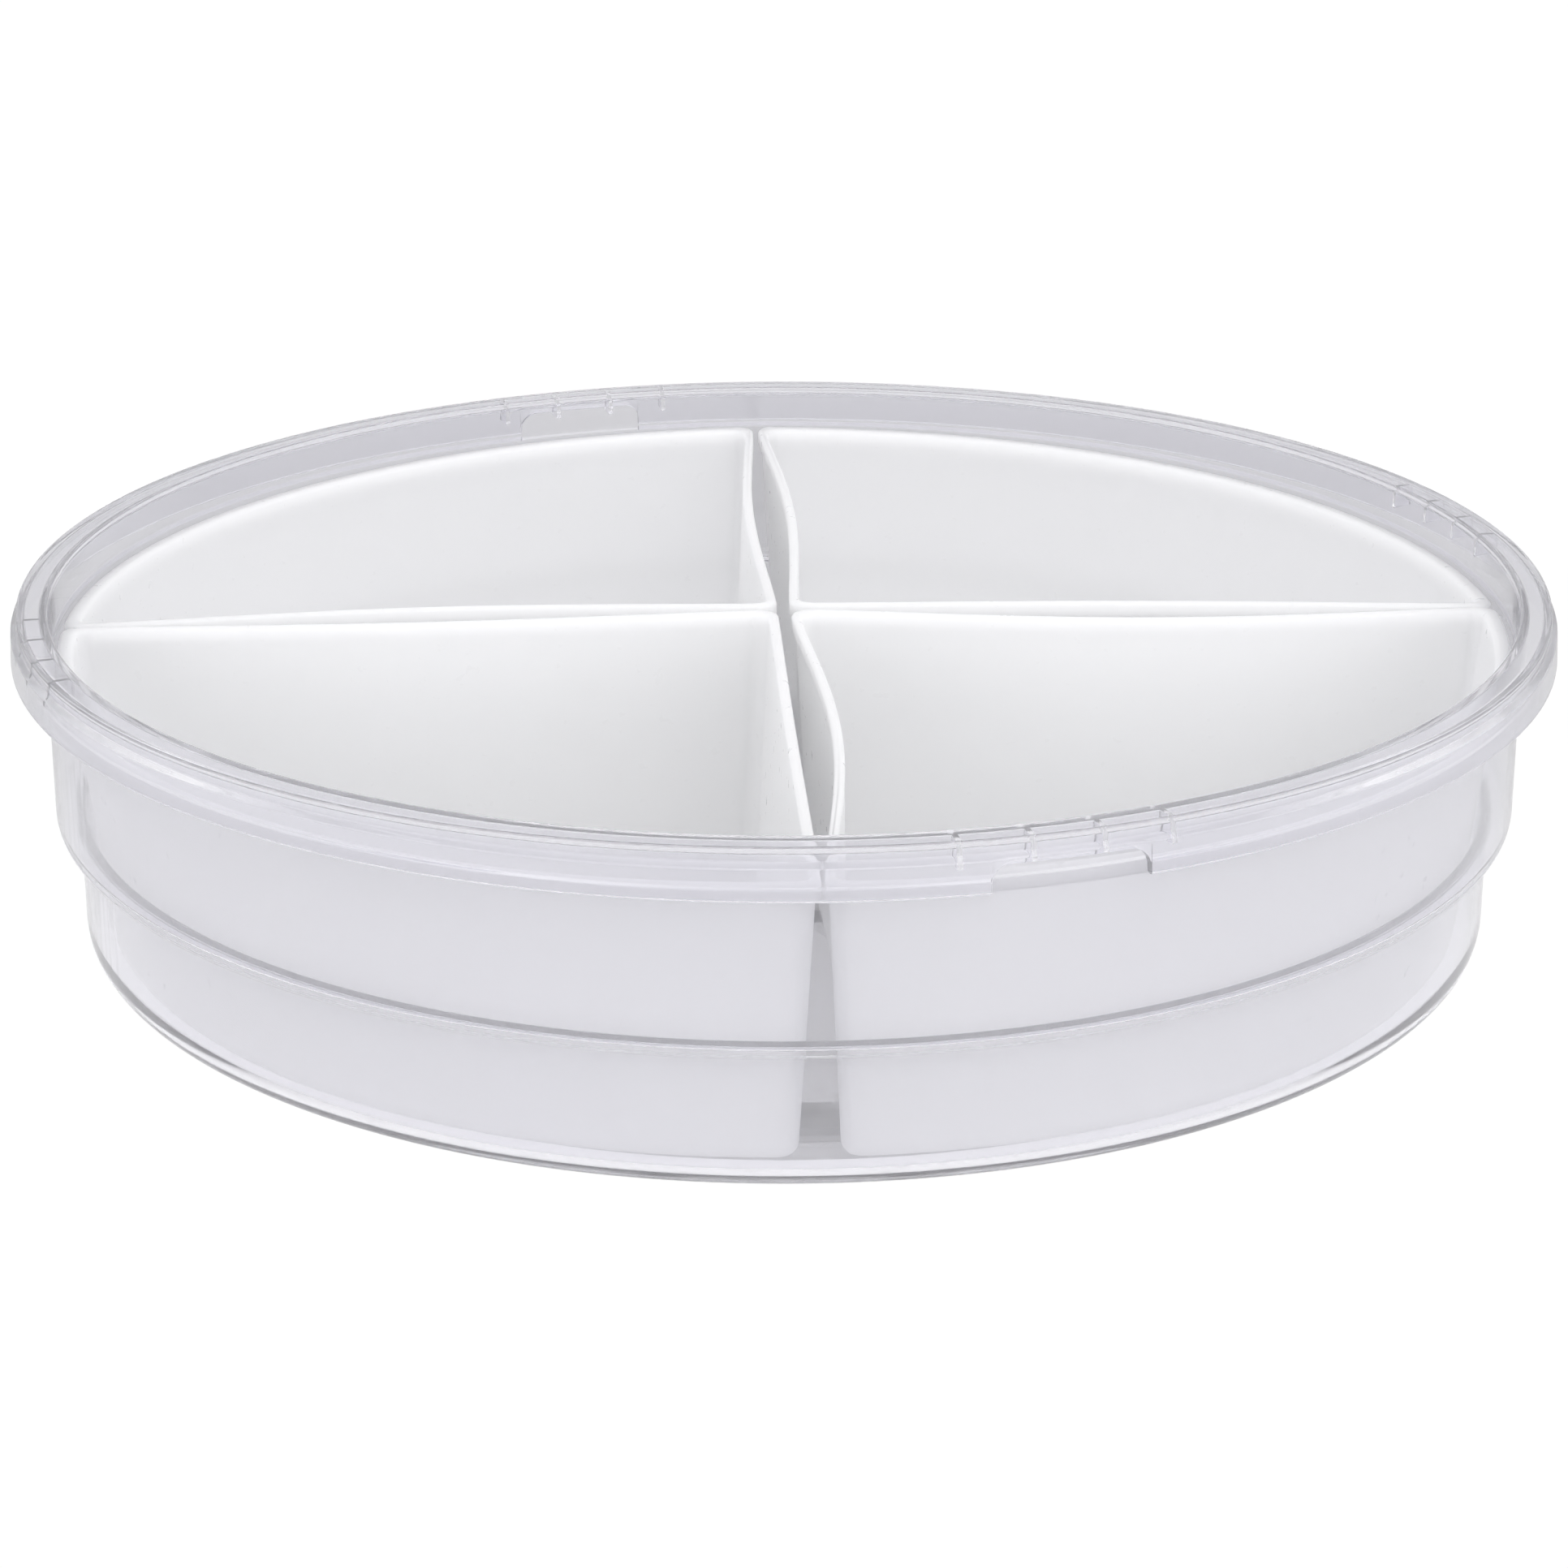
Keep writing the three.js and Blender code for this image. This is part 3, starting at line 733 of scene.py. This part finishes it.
def make_washer():
    mesh = turned("washer_ring", [
        (WASHER_HOLE_R, WASHER_LOW, 0.15),
        (WASHER_R, WASHER_LOW, 0.25),
        (WASHER_R, WASHER_HIGH, 0.1),
        (WASHER_HOLE_R, WASHER_HIGH, 0.1),
    ], 96, looped=True)
    return fit_piece("washer_ring", mesh, "pivot_washer", "tub", "zinc_steel")


def screw_grid():
    """Points of a pan-head screw whose thread climbs one pitch a turn."""
    head = rounded([
        (0, SCREW_LOW, 0),
        (SCREW_HEAD_R - 0.6, SCREW_LOW, 0.9),
        (SCREW_HEAD_R, SCREW_SHOULDER - 0.25, 0.2),
        (SCREW_HEAD_R, SCREW_SHOULDER, 0.1),
        (SCREW_SHANK_R, SCREW_SHOULDER, 0.15),
        (SCREW_SHANK_R, SCREW_SHOULDER + 0.6, 0),
    ])
    azimuths = np.arange(60) * 6.0
    heights = np.linspace(SCREW_SHOULDER + 0.7, SCREW_TIP, 60)
    taper = np.clip((SCREW_TIP - heights) / 1.2, 0, 1)
    columns = []
    for azimuth in azimuths:
        phase = (heights / SCREW_PITCH - azimuth / 360) % 1
        crest = np.clip(1 - np.abs(phase - 0.5) * 3.2, 0, 1)
        radius = (SCREW_SHANK_R - 0.3 + 0.3 * crest) * taper
        columns.append(np.concatenate([head, np.stack([radius, heights], 1)]))
    return lathe_grid(np.array(columns), azimuths)


def make_screw():
    arms = [block("arm", (3.6, 0.7, 1.1), (0, 0, SCREW_LOW), turn) for turn in (45, 135)]
    cross = combined(arms[0], arms[1], "UNION")
    mesh = combined(grid_mesh("screw_body", screw_grid()), cross, "DIFFERENCE")
    return fit_piece("screw_body", mesh, "pivot_screw", "tub", "zinc_steel")


make_tub()
for cup_node, cup_shape in CUPS.items():
    make_cup(cup_node, *cup_shape)
make_race()
make_cage()
make_balls()
make_base()
make_feet()
make_washer()
make_screw()

# ---------------------------------------------------------------- stage, light and camera

CAMERA_DISTANCE = 795.5 * MM     # from the middle of the rim
CAMERA_ELEVATION = math.radians(17.36)
CAMERA_PITCH = math.radians(20.36)
CAMERA_LENS = 92.3
SEEN_WHITE = 1.02
TENT_LIGHT = (1.15, 0.8)         # of the light tent, at its front and at its back
TABLE_LIGHT = (0.96, 0.58)       # of the lit table, in front of the object and behind it
TABLE_FADE = (-0.05, 0.2)        # metres along Y
FLOOR_REACH = 6.0                # metres from the middle to each side
LIGHT_AIM = Vector((0, 0, 0.04))
SOFT_BOXES = {                   # place and size in metres, power in watts
    "top_box": ((0.0, 0.15, 1.1), (1.1, 1.1), 0.3),
    "front_box": ((0.35, -1.5, 0.9), (1.2, 0.8), 4.3),
    "side_box_left": ((-1.3, -0.2, 0.7), (0.8, 0.8), 0.5),
    "side_box_right": ((1.3, -0.2, 0.7), (0.8, 0.8), 1.0),
}
BOUNCES = 64
DIFFUSE_BOUNCES = 10


def seen_white(tree, shade, output):
    """Shows plain white to the camera, and the shade itself to every other ray."""
    light_path = tree.nodes.new("ShaderNodeLightPath")
    kind = "ShaderNodeBackground" if shade.node.type == "BACKGROUND" else "ShaderNodeEmission"
    white = tree.nodes.new(kind)
    white.inputs["Color"].default_value = (1, 1, 1, 1)
    white.inputs["Strength"].default_value = SEEN_WHITE
    mix = tree.nodes.new("ShaderNodeMixShader")
    tree.links.new(light_path.outputs["Is Camera Ray"], mix.inputs[0])
    tree.links.new(shade, mix.inputs[1])
    tree.links.new(white.outputs[0], mix.inputs[2])
    tree.links.new(mix.outputs[0], output)


def make_floor():
    mesh = bpy.data.meshes.new("floor")
    corners = [(x * FLOOR_REACH, y * FLOOR_REACH, 0) for x, y in ((-1, -1), (1, -1), (1, 1), (-1, 1))]
    mesh.from_pydata(corners, [], [(0, 1, 2, 3)])
    floor = bpy.data.objects.new("floor", mesh)
    bpy.context.scene.collection.objects.link(floor)
    shader = Shader("pale_floor", Roughness=0.9, Emission_Strength=1.0)
    shader.principled.inputs["Base Color"].default_value = (0, 0, 0, 1)
    along = shader.nodes.new("ShaderNodeSeparateXYZ")
    shader.links.new(shader.place, along.inputs[0])
    front, back = ((level, level, level * 1.01) for level in TABLE_LIGHT)
    across = shader.ranged(along.outputs["Y"], 0, 1, *TABLE_FADE)
    shader.feed("Emission Color", shader.mixed(across, front, back))
    tree = shader.material.node_tree
    seen_white(tree, shader.principled.outputs[0], tree.nodes["Material Output"].inputs["Surface"])
    mesh.materials.append(shader.material)


def make_world():
    world = bpy.data.worlds.new("studio")
    world.use_nodes = True
    bpy.context.scene.world = world
    tree = world.node_tree
    background = tree.nodes["Background"]
    coordinates = tree.nodes.new("ShaderNodeTexCoord")
    along = tree.nodes.new("ShaderNodeSeparateXYZ")
    fade = tree.nodes.new("ShaderNodeMapRange")
    for socket, value in zip(("From Min", "From Max", "To Min", "To Max"), (-1, 1, *TENT_LIGHT)):
        fade.inputs[socket].default_value = value
    tree.links.new(coordinates.outputs["Generated"], along.inputs[0])
    tree.links.new(along.outputs["Y"], fade.inputs["Value"])
    tree.links.new(fade.outputs["Result"], background.inputs["Strength"])
    background.inputs["Color"].default_value = (0.98, 0.98, 1.0, 1)
    seen_white(tree, background.outputs[0], tree.nodes["World Output"].inputs["Surface"])


def make_light(name, place, size, power):
    """A soft box that faces the object."""
    data = bpy.data.lights.new(name, "AREA")
    data.shape = "RECTANGLE"
    data.size, data.size_y = size
    data.energy = power
    lamp = bpy.data.objects.new(name, data)
    lamp.location = place
    lamp.rotation_mode = "QUATERNION"
    lamp.rotation_quaternion = (LIGHT_AIM - Vector(place)).to_track_quat("-Z", "Y")
    bpy.context.scene.collection.objects.link(lamp)


def make_camera():
    rim_middle = Vector((0, 0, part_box("tub")[1].z))
    back = Vector((0, -math.cos(CAMERA_ELEVATION), math.sin(CAMERA_ELEVATION)))
    data = bpy.data.cameras.new("camera")
    data.lens = CAMERA_LENS
    data.sensor_width = 36
    data.clip_start, data.clip_end = 0.01, 100
    camera = bpy.data.objects.new("camera", data)
    camera.location = rim_middle + back * CAMERA_DISTANCE
    camera.rotation_euler = (math.pi / 2 - CAMERA_PITCH, 0, 0)
    bpy.context.scene.collection.objects.link(camera)
    bpy.context.scene.camera = camera


def set_light_paths():
    """Enough bounces for light to leave the clear walls and the deep gaps between white walls."""
    cycles = bpy.context.scene.cycles
    cycles.max_bounces = BOUNCES
    cycles.diffuse_bounces = DIFFUSE_BOUNCES
    cycles.glossy_bounces = BOUNCES
    cycles.transmission_bounces = BOUNCES


make_floor()
make_world()
for box_name, (box_place, box_size, box_power) in SOFT_BOXES.items():
    make_light(box_name, box_place, box_size, box_power)
make_camera()
bpy.context.scene.view_settings.view_transform = "Standard"
bpy.context.scene.view_settings.look = "None"
set_light_paths()
